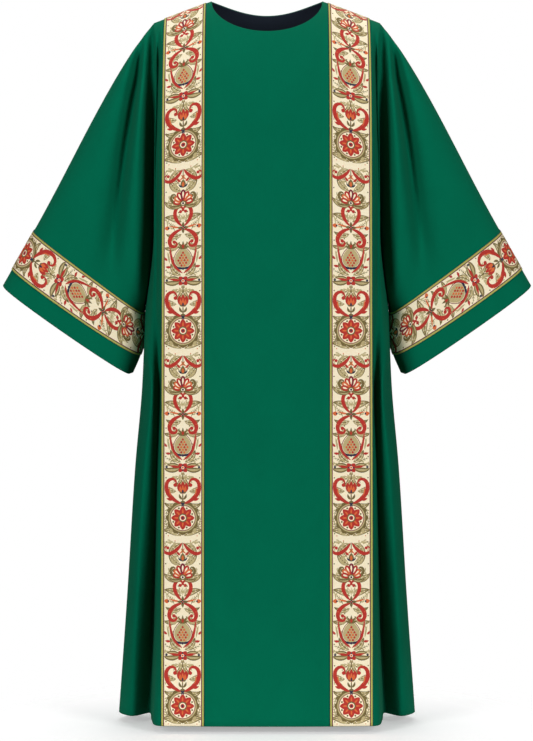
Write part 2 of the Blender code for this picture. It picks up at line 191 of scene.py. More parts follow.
# Creases that only the shells have, on the solids' form
SLEEVE_CREASES = table(
    FOLD_COLUMNS,
    ("front", 229, -30, 292, -520, 4, 7, 16, 42, 14),
    ("front", 236, -50, 304, -560, 3, 12, 30, 6, 16),
    ("front", 211, 5, 213, -600, 2, 11, 17, 52, 56),
    ("front", 262, -130, 330, -420, -6, 12, 20, 3, 2),
    ("front", 300, -330, 262, -560, 8, 16, 22, 3, 3),
    ("back", 234, -70, 297, -450, 3, 8, 14, 22, 10),
    ("back", 217, -90, 215, -560, 4, 8, 9, 18, 15),
    ("back", 272, -150, 352, -430, -8, 13, 22, 3, 2),
)
SIDE_CREASES = table(
    FOLD_COLUMNS,
    ("front", 201, -30, 203, -640, 1, 5, 6, 20, 26),
    ("front", 197, -540, 221, -1330, -12, 9, 14, 28, 46),
    ("back", 201, -150, 204, -620, 1, 4, 5, 6, 12),
    ("back", 200, -580, 223, -1330, -7, 7, 12, 20, 34),
)
BAND_CLEARANCE = 4 * MM  # side creases start this far out from the band's edge
PANEL_CREASES = table(
    FOLD_COLUMNS,
    ("back", 60, -420, 74, -1330, 5, 16, 30, 2, 5),
    ("back", 6, -620, -14, -1330, 4, 18, 32, 1, 3),
)
PANEL_CREASE_END = 1.55  # from this column on, side creases fade out towards the side edge

# Rows and columns of the shells
NECK_COLUMNS = 22
BAND_COLUMNS = 16
SIDE_COLUMNS = 46
UPPER_ROWS = 108
LOWER_ROWS = 60
UPPER_ROW_POWER = 1.25
TRIAL_ROW_POWER = 3
FACING_ROWS = 18
SLEEVE_ROWS = 64
SLEEVE_ROW_POWER = 1.15
SLEEVE_BAND_ROWS = 30
CUFF_ROWS = 12
SEAM_STEP = 0.012  # the last step before a seam, as a share of the side's columns


def ease(x):
    """0 before 0, 1 after 1, and a smooth step between."""
    x = np.clip(x, 0.0, 1.0)
    return x * x * (3 - 2 * x)


def unit(vectors):
    return vectors / np.maximum(np.linalg.norm(vectors, axis=-1, keepdims=True), 1e-12)


def slopes_of(knots, values):
    """Slopes for a smooth curve through the values that never overshoots them."""
    step = np.diff(knots).reshape((-1,) + (1,) * (values.ndim - 1))
    rise = np.diff(values, axis=0) / step
    before, after = rise[:-1], rise[1:]
    same_way = before * after > 0
    first = 2 * step[1:] + step[:-1]
    second = step[1:] + 2 * step[:-1]
    safe_before = np.where(same_way, before, 1.0)
    safe_after = np.where(same_way, after, 1.0)
    mean = (first + second) / (first / safe_before + second / safe_after)
    slopes = np.zeros_like(values)
    slopes[0], slopes[-1] = rise[0], rise[-1]
    slopes[1:-1] = np.where(same_way, mean, 0.0)
    return slopes


def cubic(t, start, end, leave, arrive):
    """A curve from start to end with these slopes, at the shares t of its way."""
    return (
        (1 + 2 * t) * (1 - t) ** 2 * start
        + t * (1 - t) ** 2 * leave
        + t * t * (3 - 2 * t) * end
        + t * t * (t - 1) * arrive
    )


def smooth_through(knots, values, at, paired=False):
    """Values read at many places from the smooth curve through a table. Where they are paired,
    the table's second axis has a curve of its own for each place."""
    knots = np.asarray(knots, float)
    values = np.asarray(values, float)
    slopes = slopes_of(knots, values)
    at = np.clip(at, knots[0], knots[-1])
    i = np.clip(np.searchsorted(knots, at, side="right") - 1, 0, len(knots) - 2)
    width = (knots[i + 1] - knots[i])[:, None]
    share = (at - knots[i])[:, None] / width
    low, high = ((i, np.arange(len(at))), (i + 1, np.arange(len(at)))) if paired else (i, i + 1)
    return cubic(share, values[low], values[high], width * slopes[low], width * slopes[high])


def rows_at(rows, z):
    """A table's rows at these heights, in metres."""
    heights = [row.z * MM for row in rows]
    return type(rows[0])(*smooth_through(heights, np.array(rows) * MM, z).T)


def shoulder_height(x):
    """Height of the shoulder seam's line, which also runs on over the neck opening."""
    outside = NECK_POINT_Z - SHOULDER_FALL * (x - NECK_POINT_X)
    inside = NECK_POINT_Z + SHOULDER_FALL * (NECK_POINT_X**2 - x * x) / (2 * NECK_POINT_X)
    return np.where(x >= NECK_POINT_X, outside, inside)


def neck_height(face, x):
    """Height of the neck's edge at X."""
    around = np.sqrt(np.clip(1 - (x / NECK_POINT_X) ** 2, 0, None))
    if face == "front":
        return NECK_POINT_Z - FRONT_NECK_DROP * around
    return NECK_POINT_Z - BACK_NECK_DROP * around**BACK_NECK_SQUARENESS


def rounding(face, below):
    """How much of its full depth the cloth has at this distance below the shoulder."""
    left = 1 - np.clip(below / ROUNDING_REACH[face], 0.0, 1.0)
    return (1 - left**ROUNDING_POWER) ** (1 / ROUNDING_POWER)


def side_at(face, z):
    """X and depth of the panel's side edge at these heights."""
    arm = rows_at(ARMHOLE, z)
    seam = rows_at(SIDE_SEAM, z)
    closing = np.sqrt(np.clip((z - UNDERARM_Z) / UNDERARM_ROUND, 0, 1))
    arm_y = (arm.front_y if face == "front" else arm.back_y) * closing
    seam_y = -seam.y if face == "front" else seam.y
    above = z > UNDERARM_Z
    return np.where(above, arm.x, seam.x), np.where(above, arm_y, seam_y)


def full_depth(face, column, z):
    """X and full depth of columns at heights. Columns 0 to 1 cross the flat panel, and columns
    1 to 2 go on round the side folds."""
    row = rows_at(SECTIONS[face], z)
    edge = row.depth - PANEL_CROWN
    outer = np.full_like(z, BAND_OUTER_X)
    side_x, side_y = side_at(face, z)
    points = (
        (2 * outer - row.corner_x, edge + MM),
        (outer, edge),
        (row.corner_x, row.corner_y),
        (row.turn_x, row.turn_y),
        (row.valley_x, row.valley_y),
        (row.lobe_x, row.lobe_y),
        (side_x, side_y),
        (row.lobe_x, 2 * side_y - row.lobe_y),
    )
    spans = len(points) - 3
    knots = [(i - 1) / spans for i in range(len(points))]
    folded = smooth_through(knots, np.array(points).transpose(0, 2, 1), column - 1, paired=True)
    flat = column <= 1
    x = np.where(flat, column * BAND_OUTER_X, folded[:, 0])
    depth = np.where(flat, row.depth - PANEL_CROWN * column**2, folded[:, 1])
    return x, depth


def column_tops(face, columns):
    """Heights of the columns' top edges and of the shoulder line above them."""
    x, _ = full_depth(face, columns, np.zeros_like(columns))
    x = np.where(columns <= 1, columns * BAND_OUTER_X, x)
    ridge = shoulder_height(x)
    return np.where(x < NECK_POINT_X, neck_height(face, x), ridge), ridge


def panel_points(face, columns, z, ridge):
    """Points of the panel's outer surface, on the side of +X, in rows of columns."""
    shape = z.shape
    columns, ridge = (np.broadcast_to(a, shape).ravel() for a in (columns, ridge))
    z = z.ravel()
    x, depth = full_depth(face, columns, z)
    depth = depth * rounding(face, ridge - z)
    beside = ease((x - BAND_OUTER_X) / BAND_CLEARANCE) * ease((2 - columns) / (2 - PANEL_CREASE_END))
    sunk = fold_depth(SIDE_CREASES, face, x, z) * beside + fold_depth(PANEL_CREASES, face, x, z)
    depth = depth - limited(sunk, MOST_FOLD * np.maximum(depth, 0))
    return np.stack((x, -depth if face == "front" else depth, z), axis=1).reshape(shape + (3,))


def lengths_along(points, axis=0):
    """The distance travelled along each line of a grid."""
    steps = np.linalg.norm(np.diff(points, axis=axis), axis=-1)
    zero = np.zeros_like(np.take(steps, [0], axis=axis))
    return np.concatenate((zero, np.cumsum(steps, axis=axis)), axis=axis)


def half_columns():
    """The columns of a half panel, from the centre to the side seam."""
    turns = np.linspace(0, math.pi / 2, NECK_COLUMNS + 1)
    neck = np.sin(turns) * NECK_POINT_X
    band = np.linspace(BAND_INNER_X, BAND_OUTER_X, BAND_COLUMNS + 1)
    side = 1 + np.arange(1, SIDE_COLUMNS + 1) / SIDE_COLUMNS
    return np.concatenate((
        neck / BAND_OUTER_X,
        [(NECK_POINT_X + BAND_INNER_X) / 2 / BAND_OUTER_X],
        band / BAND_OUTER_X,
        side[:-1],
        [2 - SEAM_STEP, 2],
    ))


def panel_grid(face):
    """Rows and columns of a whole panel, from the side at -X to the one at +X."""
    columns = half_columns()
    tops, ridge = column_tops(face, columns)
    fine = 2 * UPPER_ROWS
    shares = (np.arange(fine + 1) / fine)[:, None] ** TRIAL_ROW_POWER
    dense = panel_points(face, columns, tops + (UNDERARM_Z - tops) * shares, ridge)
    length = lengths_along(dense)
    wanted = (np.arange(UPPER_ROWS + 1) / UPPER_ROWS) ** UPPER_ROW_POWER
    upper = np.empty((UPPER_ROWS + 1, len(columns), 3))
    for j in range(len(columns)):
        for k in range(3):
            upper[:, j, k] = np.interp(wanted * length[-1, j], length[:, j], dense[:, j, k])
    steps = (np.arange(1, LOWER_ROWS + 1) / LOWER_ROWS)[:, None]
    heights = np.broadcast_to(UNDERARM_Z + (HEM_Z - UNDERARM_Z) * steps, (LOWER_ROWS, len(columns)))
    half = np.concatenate((upper, panel_points(face, columns, heights, ridge)))
    return np.concatenate((half[:, :0:-1] * MIRROR, half), axis=1)


def fold_depth(folds, face, x, z):
    """How far the folds sink in at places in the front view."""
    total = np.zeros_like(x)
    for fold in folds:
        if fold.face != face:
            continue
        along = (z / MM - fold.z_top) / (fold.z_low - fold.z_top)
        middle = fold.x_top + (fold.x_low - fold.x_top) * along + fold.bow * np.sin(math.pi * along)
        width = fold.width_top + (fold.width_low - fold.width_top) * along
        deep = fold.deep_top + (fold.deep_low - fold.deep_top) * along
        deep = deep * ease(along / FOLD_FADE) * ease((1 - along) / (2 * FOLD_FADE))
        across = np.exp(-(((x / MM - middle) / np.maximum(width, 1.0)) ** 2))
        total += np.where((along > 0) & (along < 1), deep * across, 0.0)
    return total * MM


def limited(sunk, most):
    """Folds that come softly up to their limit."""
    return most * np.tanh(sunk / np.maximum(most, MM))


def sleeve_rows():
    """The sleeve's rows: 0 is the armhole, 1 the band's upper border and 2 the cuff."""
    upper = np.linspace(0, 1, SLEEVE_ROWS + 1) ** SLEEVE_ROW_POWER
    band = np.linspace(1, BAND_END, SLEEVE_BAND_ROWS + 1)
    cuff = np.linspace(BAND_END, 2, CUFF_ROWS + 1)
    return np.concatenate((upper, band[1:], cuff[1:]))


def sleeve_column(face, start, share, rows):
    """One line of the sleeve from its armhole point to the cuff. The share is 0 on the top
    fold and 1 on the underarm seam."""
    round_by = math.sin(math.acos(1 - 2 * share)) if 0 < share < 1 else 0.0
    top, bottom = np.array(CUFF_TOP), np.array(CUFF_BOTTOM)
    chord = bottom - top
    outwards = unit(np.array((-chord[1], chord[0])))
    cuff = top + chord * share + outwards * CUFF_BOW[face] * round_by**CUFF_BOW_POWER
    start_flat = np.array((start[0], start[2]))
    top_way = unit(top - np.array(SLEEVE_TOP_FROM))
    way = unit(top_way + (np.array(SLEEVE_LOW_WAY) - top_way) * share)
    border = cuff - way * (CUFF_STRIP + SLEEVE_BAND_WIDTH)
    reach = np.linalg.norm(border - start_flat)
    leave = (border - start_flat) / reach
    leave = leave + (np.array(SHOULDER_START) - leave) * (1 - share) ** LEAVE_POWER
    leave = leave + (np.array(UNDERARM_START) - leave) * share**LEAVE_POWER
    down = np.minimum(rows, 1)[:, None]
    upper = cubic(down, start_flat, border, reach * leave, reach * way)
    over_band = np.maximum(rows - 1, 0)
    flat = upper + (cuff - border) * over_band[:, None]
    flat[:, 0] -= LOW_BOW * share**LOW_BOW_POWER * np.sin(math.pi * over_band)
    knots = [row.along for row in SLEEVE_BULGE]
    depths = [[row.half_depth * MM] for row in SLEEVE_BULGE]
    bulge = smooth_through(knots, depths, rows)[:, 0] * round_by**SLEEVE_ROUNDNESS
    blend = 1 - (1 - np.minimum(rows / BULGE_START, 1)) ** 2
    depth = abs(start[1]) * (1 - blend) + bulge * blend
    sunk = fold_depth(SLEEVE_FOLDS + SLEEVE_CREASES, face, flat[:, 0], flat[:, 1]) * np.sqrt(blend)
    depth = depth - limited(sunk, MOST_FOLD * depth)
    return np.stack((flat[:, 0], -depth if face == "front" else depth, flat[:, 1]), axis=1)


def sleeve_grid(front, back):
    """Rows and rings of the sleeve on the side of +X. Its first row lies on the armhole edges of
    the two panels: down the front to the underarm and up the back."""
    rows = sleeve_rows()
    loops = []
    for face, panel in (("front", front), ("back", back)):
        seam = panel[: UPPER_ROWS + 1, -1]
        length = lengths_along(seam)
        shares = length / length[-1]
        loops.append([sleeve_column(face, p, s, rows) for p, s in zip(seam, shares)])
    around = loops[0] + loops[1][-2:0:-1]
    return np.stack(around, axis=1)


def normals_of(grid, sign, ring=False):
    """Outward directions at a grid's points."""
    if ring:
        grid = np.concatenate((grid[:, -1:], grid, grid[:, :1]), axis=1)
    down = np.gradient(grid, axis=0)
    across = np.gradient(grid, axis=1)
    out = unit(np.cross(down, across) * sign)
    return out[:, 1:-1] if ring else out


def share_directions(front_out, back_out, sleeve_out):
    """Pieces that meet at a seam lie in one direction there."""
    under = UPPER_ROWS
    columns = front_out.shape[1]
    shoulders = np.abs(np.arange(columns) - columns // 2) >= NECK_COLUMNS
    top = unit(front_out[0] + back_out[0])[shoulders]
    front_out[0, shoulders] = top
    back_out[0, shoulders] = top
    for column in (0, -1):
        side = unit(front_out[under:, column] + back_out[under:, column])
        front_out[under:, column] = side
        back_out[under:, column] = side
    count = under + 1
    rings = sleeve_out.shape[1]
    back_ring = (-np.arange(count)) % rings
    for panel_out, ring in ((front_out, np.arange(count)), (back_out, back_ring)):
        mean = unit(panel_out[:count, -1] + sleeve_out[0, ring])
        panel_out[:count, -1] = mean
        panel_out[:count, 0] = mean * MIRROR
        sleeve_out[0, ring] = mean


def cells(rows, columns):
    """The row and column of every cell of a grid."""
    return (a.ravel() for a in np.meshgrid(np.arange(rows), np.arange(columns), indexing="ij"))


def shell(name, outer, inner, materials, ring=False, edges=(0, 0)):
    """A closed thin shell between two grids, with a UV map in metres. The edges give how far the
    rim bulges at the first and at the last row, as a share of its thickness."""
    rows, columns = outer.shape[:2]
    wide = np.concatenate((outer, outer[:, :1]), axis=1) if ring else outer
    across = lengths_along(wide, axis=1)
    across = across - across[:, across.shape[1] // 2][:, None]
    along = lengths_along(wide, axis=0)
    size = rows * columns
    spans = columns if ring else columns - 1

    def uv_at(places):
        """The UV map at the corners of faces, each given as its rows and columns."""
        return np.stack([np.stack((across[a, b], along[a, b]), axis=1) for a, b in places], axis=1)

    i, j = cells(rows - 1, spans)
    corners = ((i, j), (i, j + 1), (i + 1, j + 1), (i + 1, j))
    top = np.stack([a * columns + b % columns for a, b in corners], axis=1)
    top_uv = uv_at(corners)
    faces = [top, top[:, ::-1] + size]
    uvs = [top_uv, top_uv[:, ::-1]]
    verts = [outer.reshape(-1, 3), inner.reshape(-1, 3)]
    count = 2 * size

    rims = [(0, 1, edges[0]), (rows - 1, rows - 2, edges[1])]
    for row, inside, bulge in rims:
        reach = unit(outer[row] - outer[inside]) * CLOTH_WALL * bulge
        middle = (outer[row] + inner[row]) / 2 + reach
        verts.append(middle)
        k = np.arange(spans)
        near, far = row * columns + k, row * columns + (k + 1) % columns
        mid_near, mid_far = count + k, count + (k + 1) % columns
        strips = ((near, far, mid_far, mid_near), (mid_near, mid_far, far + size, near + size))
        uv = uv_at([(row, c) for c in (k, k + 1, k + 1, k)])
        for strip in strips:
            strip = np.stack(strip, axis=1)
            faces.append(strip[:, ::-1] if row == 0 else strip)
            uvs.append(uv[:, ::-1] if row == 0 else uv)
        count += columns
    if not ring:
        for column in (0, columns - 1):
            k = np.arange(rows - 1)
            near, far = k * columns + column, (k + 1) * columns + column
            strip = np.stack((near, far, far + size, near + size), axis=1)
            uv = uv_at([(r, column) for r in (k, k + 1, k + 1, k)])
            faces.append(strip if column == 0 else strip[:, ::-1])
            uvs.append(uv if column == 0 else uv[:, ::-1])
    faces = np.concatenate(faces).tolist()
    return add_mesh(name, np.concatenate(verts), faces, np.concatenate(uvs), materials)


def add_object(name, data):
    made = bpy.data.objects.new(name, data)
    bpy.context.scene.collection.objects.link(made)
    return made


def add_mesh(name, verts, faces, uvs, materials, slots=None):
    """An object from arrays of points, faces and each face corner's UV."""
    mesh = bpy.data.meshes.new(name)
    mesh.from_pydata(verts.tolist(), [], faces)
    layer = mesh.uv_layers.new(name="cloth")
    layer.data.foreach_set("uv", uvs.reshape(-1))
    for finish in materials:
        mesh.materials.append(finish)
    if slots is not None:
        mesh.polygons.foreach_set("material_index", slots)
    mesh.validate()
    mesh.shade_smooth()
    mesh.update()
    return add_object(name, mesh)


def facing_out(piece):
    """Turns a closed piece's faces outwards."""
    work = bmesh.new()
    work.from_mesh(piece.data)
    bmesh.ops.recalc_face_normals(work, faces=work.faces)
    if work.calc_volume(signed=True) < 0:
        bmesh.ops.reverse_faces(work, faces=work.faces)
    work.to_mesh(piece.data)
    work.free()
    piece.data.shade_smooth()


# Outlines of the galloon's pattern, in millimetres on its flat tile: X across the band from its
# middle, Y along it. Headings are in degrees, anticlockwise from X. The design is a generic one.

TILE_HALF = 39.0
TILE_LENGTH = 336.0
TILE_STEP = 8.0
BAND_REPEATS = 8  # tiles from the front hem to the back hem
CUFF_REPEATS = 2  # tiles round a sleeve
GROUND_HALF = 33.4
GROUND_LINES = (-22.0, -11.0, 0.0, 11.0, 22.0)
SCROLL_WEIGHT = 1.25
MARK_MARGIN = 0.2  # how far marks keep from the ground's edge
TILE_MARGIN = 0.5  # how far marks keep from the tile's ends
INNER_LINES = (-27.5, -16.5, -5.5, 5.5, 16.5, 27.5)  # points along these let the ground bend
MERGE_DISTANCE = 1e-4
LEAF_ENDS = 0.04
BUD_WIDTH = 0.62
PLUME_EDGE = 0.8  # how wide a plume's dark edge is
LEAF_SPREADS = {"spray": 52, "plume": 34, "tendril": 55}  # degrees from the stalk
SPRAY_LEAF_WIDTH = 0.36  # as a share of its length
STRIPES = table(
    "thread half",
    ("navy", TILE_HALF),
    ("gold", 38.2),
    ("navy", 35.2),
    ("wine", 34.5),
    ("cream", GROUND_HALF),
)


def sweep(start, heading, length, sway=0.0, curl=0.0, steps=11):
    """A path that leaves at a heading, sways evenly and curls up towards its end."""
    share = (np.arange(steps) + 0.5) / steps
    angle = np.radians(heading + sway * share + curl * share**4)
    moves = np.stack((np.cos(angle), np.sin(angle)), axis=1) * length / steps
    start = np.array(start, float)
    return np.concatenate((start[None], start + np.cumsum(moves, axis=0)))


def brush(path, width, swell, ends):
    """The outline of a stroke along a path, widest at the share swell of its length. The ends
    have this share of its width."""
    t = np.linspace(0, 1, len(path)) ** (math.log(0.5) / math.log(swell))
    half = width / 2 * (ends + (1 - ends) * np.sin(math.pi * t))
    way = unit(np.gradient(path, axis=0))
    side = np.stack((-way[:, 1], way[:, 0]), axis=1) * half[:, None]
    return np.concatenate((path + side, (path - side)[::-1]))


def leaf(base, heading, length, width, bend=0.0, swell=0.45, steps=6):
    return brush(sweep(base, heading, length, bend, 0, steps), width, swell, LEAF_ENDS)


def disc(centre, radius, points, lobes=0, depth=0.0, squash=1.0):
    a = np.arange(points) * 2 * math.pi / points
    r = radius * (1 + depth * np.cos(lobes * a))
    return np.stack((centre[0] + r * np.sin(a), centre[1] + r * np.cos(a) * squash), axis=1)


def bud(base, heading, length, width, point, points=18):
    """A shape with a rounded base and a pointed tip."""
    a = np.arange(points) * 2 * math.pi / points
    x = width * BUD_WIDTH * np.sin(a) * np.abs(np.sin(a / 2)) ** point
    y = length * (1 + np.cos(a)) / 2
    turn = math.radians(heading - 90)
    cos, sin = math.cos(turn), math.sin(turn)
    return np.stack((base[0] + cos * x - sin * y, base[1] + sin * x + cos * y), axis=1)


def round_to(centre, radius, heading):
    turn = math.radians(heading)
    return centre[0] + radius * math.cos(turn), centre[1] + radius * math.sin(turn)


def heading_of(path, i):
    step = path[i + 1] - path[i]
    return math.degrees(math.atan2(step[1], step[0]))


class Pattern:
    """The tile's marks, each a thread's name and an outline, from the undermost to the topmost."""

    def __init__(self):
        self.marks = []

    def put(self, thread, shape):
        low = (-GROUND_HALF + MARK_MARGIN, TILE_MARGIN)
        high = (GROUND_HALF - MARK_MARGIN, TILE_LENGTH - TILE_MARGIN)
        self.marks.append((thread, np.clip(shape, low, high)))

    def pair(self, thread, shape):
        self.put(thread, shape)
        self.put(thread, shape * np.array((-1, 1)))

    def stripe(self, thread, half):
        up = np.linspace(0, TILE_LENGTH, round(TILE_LENGTH / TILE_STEP) + 1)
        right = np.stack((np.full_like(up, half), up), axis=1)
        left = right[::-1] * np.array((-1, 1))
        far = [(x, TILE_LENGTH) for x in GROUND_LINES[::-1]]
        near = [(x, 0.0) for x in GROUND_LINES]
        self.marks.append((thread, np.concatenate((right, far, left, near))))

    def ring(self, thread, count, centre, radius, first, shape, *sizes):
        for k in range(count):
            heading = first + 360 * k / count
            self.put(thread, shape(round_to(centre, radius, heading), heading, *sizes))

    def scroll(self, thread, start, heading, length, sway, curl, width, ball=0.55):
        path = sweep(start, heading, length, sway, curl, 16)
        self.pair(thread, brush(path, width * SCROLL_WEIGHT, 0.42, 0.28))
        self.pair(thread, disc(path[-1], width * ball, 10))

    def spray(self, base, heading, length, sway, leaves, size):
        """A stalk with pairs of leaves that grow smaller."""
        rib = sweep(base, heading, length, sway, 0, leaves + 1)
        for k in range(1, leaves + 1):
            long = size * (1.15 - 0.75 * k / leaves)
            for side in (-1, 1):
                way = heading_of(rib, k) + side * LEAF_SPREADS["spray"]
                width = long * SPRAY_LEAF_WIDTH
                self.pair("tan", leaf(rib[k], way, long, width, -side * 25, 0.5, 3))
        self.pair("olive", brush(rib, 1.3, 0.3, 0.3))

    def plume(self, base, heading, length, width, bend):
        """A broad leaf with a dark rib and pale veins."""
        rib = sweep(base, heading, length, bend, 0, 8)
        self.pair("olive", brush(rib, width, 0.42, 0.06))
        self.pair("tan", brush(rib[:-1], width - 2 * PLUME_EDGE, 0.42, 0.04))
        for k in (2, 4, 6):
            way = heading_of(rib, k)
            long = width * 0.5 * math.sin(math.pi * (k + 1) / 9)
            for side in (-1, 1):
                vein = way + side * LEAF_SPREADS["plume"]
                self.pair("cream", leaf(rib[k - 1], vein, long, 1.5, side * 12, 0.5, 2))
        self.pair("olive", brush(rib[::2], 1.7, 0.3, 0.4))

    def tendril(self, start, heading, length, sway, curl):
        path = sweep(start, heading, length, sway, curl, 10)
        self.pair("tan", brush(path, 1.7, 0.3, 0.5))
        self.pair("tan", disc(path[-1], 1.5, 6))
        for i, side in ((3, 1), (5, -1), (7, 1)):
            way = heading_of(path, i) + side * LEAF_SPREADS["tendril"]
            self.pair("tan", leaf(path[i], way, 7, 2.6, -side * 30, 0.5, 3))


TENDRILS = table(
    "x y heading length sway curl",
    (10, 6, 20, 22, 50, 220),
    (31, 74, 95, 20, 20, 160),
    (3, 101, 75, 24, -70, -260),
    (4, 112, 300, 24, 60, 230),
    (20, 138, 300, 22, 50, 230),
    (27, 170, 100, 26, 20, 180),
    (12, 196, 10, 22, 60, 240),
    (28, 226, 85, 24, -10, -200),
    (2, 236, 60, 22, -40, -240),
    (29, 262, 100, 30, 15, 200),
    (8, 287, 30, 26, 40, 240),
    (29, 312, 60, 26, 60, 160),
    (15, 318, 90, 22, -50, -230),
)
PLUMES = table(
    "x y heading length width bend",
    (3, 4, 40, 38, 13, -50),
    (4, 60, 330, 32, 11, 70),
    (12, 84, 350, 24, 9, 80),
    (2, 118, 240, 34, 12, 120),
    (4, 136, 20, 30, 11, 60),
    (6, 196, 300, 34, 11, 90),
    (3, 210, 330, 30, 10, 70),
    (3, 232, 40, 34, 12, -40),
    (5, 262, 350, 34, 12, 60),
    (4, 288, 20, 34, 12, 60),
    (4, 326, 340, 34, 12, -60),
)
DOTS = table(
    "thread radius x y",
    *(("olive", 1.3, x, y) for x, y in (
        (30, 8), (31, 62), (9, 106), (30.5, 108), (31, 146),
        (12, 201), (30.5, 197), (8, 250), (31, 290), (30, 329),
    )),
    *(("orange", 1.0, x, y) for x, y in (
        (26, 4), (30.5, 100), (17, 108), (24, 204), (17, 248), (14, 331),
    )),
)


def draw_rosette(art, y):
    """An eight-petalled rosette in a lobed ring."""
    centre = (0, y)
    art.spray((25, y - 22), 60, 26, 25, 4, 8)
    art.spray((25, y + 20), 300, 22, -30, 3, 7)
    art.put("olive", disc(centre, 29.5, 60, 12, 0.06))
    art.put("tan", disc(centre, 25.6, 30))
    art.put("wine", disc(centre, 23.2, 30))
    art.put("cream", disc(centre, 22.0, 30))
    art.ring("red", 8, centre, 6.0, 90, bud, 15.2, 10.8, 0.5, 12)
    art.ring("orange", 8, centre, 7.0, 90, leaf, 9.5, 3.2)
    for k in range(8):
        art.put("olive", disc(round_to(centre, 18.6, 45 * k + 22.5), 1.8, 8))
    art.put("olive", disc(centre, 8.0, 16, 8, 0.08))
    art.put("cream", disc(centre, 5.8, 12))
    art.put("red", disc(centre, 4.0, 10))
    art.put("navy", disc(centre, 1.8, 8))


def draw_lyre(art, y):
    """Two scrolls round a tulip."""
    art.spray((12, y + 4), 20, 24, 40, 4, 8)
    art.scroll("red", (3.0, y - 1), 18, 78, 95, 210, 6.4)
    art.pair("red", leaf((17, y + 6.5), -12, 13, 5.5, 40))
    art.pair("red", leaf((26.5, y + 22), 40, 9, 4.4, 60))
    art.pair("orange", leaf((21, y + 12), 60, 18, 2.2, 40))
    art.pair("navy", leaf((4, y), 200, 10, 3.4, 60))
    art.put("olive", brush(sweep((0, y), 90, 18), 2.2, 0.5, 0.6))
    art.pair("olive", leaf((0.6, y + 6), 30, 12, 4.2, 60))
    for thread, long, wide in (("red", 21, 9.0), ("orange", 14, 4.6)):
        art.pair(thread, leaf((1.0, y + 17), 52, long, wide, 48, 0.5, 8))
        art.put(thread, bud((0, y + 16), 90, long + 2, wide * 0.95, 0.6))
    art.put("navy", bud((0, y + 17), 90, 7, 3.4, 0.6, 10))
    art.pair("olive", leaf((0.5, y + 17), 15, 7, 3.0, 30))


def draw_spread(art, y):
    """Leaves that spread from a quatrefoil."""
    art.spray((14, y + 9), 40, 20, -30, 3, 7)
    for bend, heading, long, wide in ((50, -28, 33, 9.5), (-40, 30, 27, 8.0)):
        path = sweep((3, y), heading, long, bend, 0, 8)
        art.pair("olive", brush(path, wide, 0.5, 0.1))
        art.pair("tan", brush(path[1:-1], wide * 0.45, 0.5, 0.1))
    art.pair("red", leaf((4, y + 1), 3, 21, 4.6, 8))
    art.pair("navy", disc((29.4, y + 1.2), 2.3, 10, 5, 0.2))
    art.ring("red", 4, (0, y), 0, 45, bud, 10.5, 7.4, 0.3, 12)
    art.ring("navy", 4, (0, y), 0, 0, leaf, 7, 2.4)
    art.put("cream", disc((0, y), 2.9, 10))
    art.put("orange", disc((0, y), 1.9, 8))


def draw_pomegranate(art, y):
    """A pomegranate with seeds and a crown of sepals, in a cup of two leaves."""
    art.scroll("tan", (3, y - 6), 20, 44, 70, 200, 2.6, 0.9)
    art.pair("red", brush(sweep((1, y - 10), 30, 58, 85, -40, 16), 5.0, 0.4, 0.2))
    art.pair("red", leaf((22, y + 2), -20, 10, 4.6, 50))
    art.pair("red", leaf((28, y + 14), 20, 8.5, 4.2, 60))
    art.pair("tan", leaf((24.5, y + 8), 84, 22, 3.4, -10))
    art.put("wine", bud((0, y - 2), 90, 41, 33, 0.55, 30))
    art.put("cream", bud((0, y - 1), 90, 38.6, 30.6, 0.55, 30))
    art.put("tan", bud((0, y - 0.4), 90, 37, 29, 0.55, 30))
    for row, count in enumerate((2, 3, 4, 3, 2, 1)):
        for k in range(count):
            seed = ((k - (count - 1) / 2) * 5.6, y + 1.5 + row * 4.6)
            art.put(("orange", "red")[(row + k) % 2], bud(seed, 90, 4.6, 3.9, 0.6, 8))
    for lean, long in ((0, 15), (28, 14), (-28, 14), (54, 12), (-54, 12)):
        art.put("olive", leaf((0, y + 33), 90 - lean, long, 4.4, -lean / 2))
    for lean in (-14, 14):
        art.put("red", leaf((0, y + 34), 90 - lean, 9, 2.2))
    art.pair("navy", leaf((0.5, y - 1), 200, 13, 4.2, -70))
    art.put("navy", disc((0, y - 2), 2.4, 10))


def draw_knot(art, y):
    """Scrolls that part below and above a four-leaved knot, with a bud at each side."""
    art.spray((15, y - 5), 70, 22, -35, 4, 8)
    art.scroll("red", (2.2, y - 3), 350, 62, -110, -260, 6.0)
    art.scroll("red", (2.2, y + 3), 40, 58, 80, 250, 5.4)
    art.pair("orange", leaf((2, y), 5, 24, 3.2, 14))
    art.pair("orange", bud((25, y + 0.5), 10, 8.5, 7.0, 0.4, 12))
    art.pair("navy", disc((26, y + 1), 1.7, 8))
    art.ring("olive", 4, (0, y), 0, 0, leaf, 10.5, 5.0)
    art.put("navy", disc((0, y), 3.0, 8, 4, 0.25))
    art.put("orange", disc((0, y), 1.3, 6))
    art.put("tan", brush(sweep((0, y + 11), 90, 14), 1.4, 0.5, 0.5))
    art.pair("tan", leaf((0, y + 15), 50, 9, 2.6, 40))


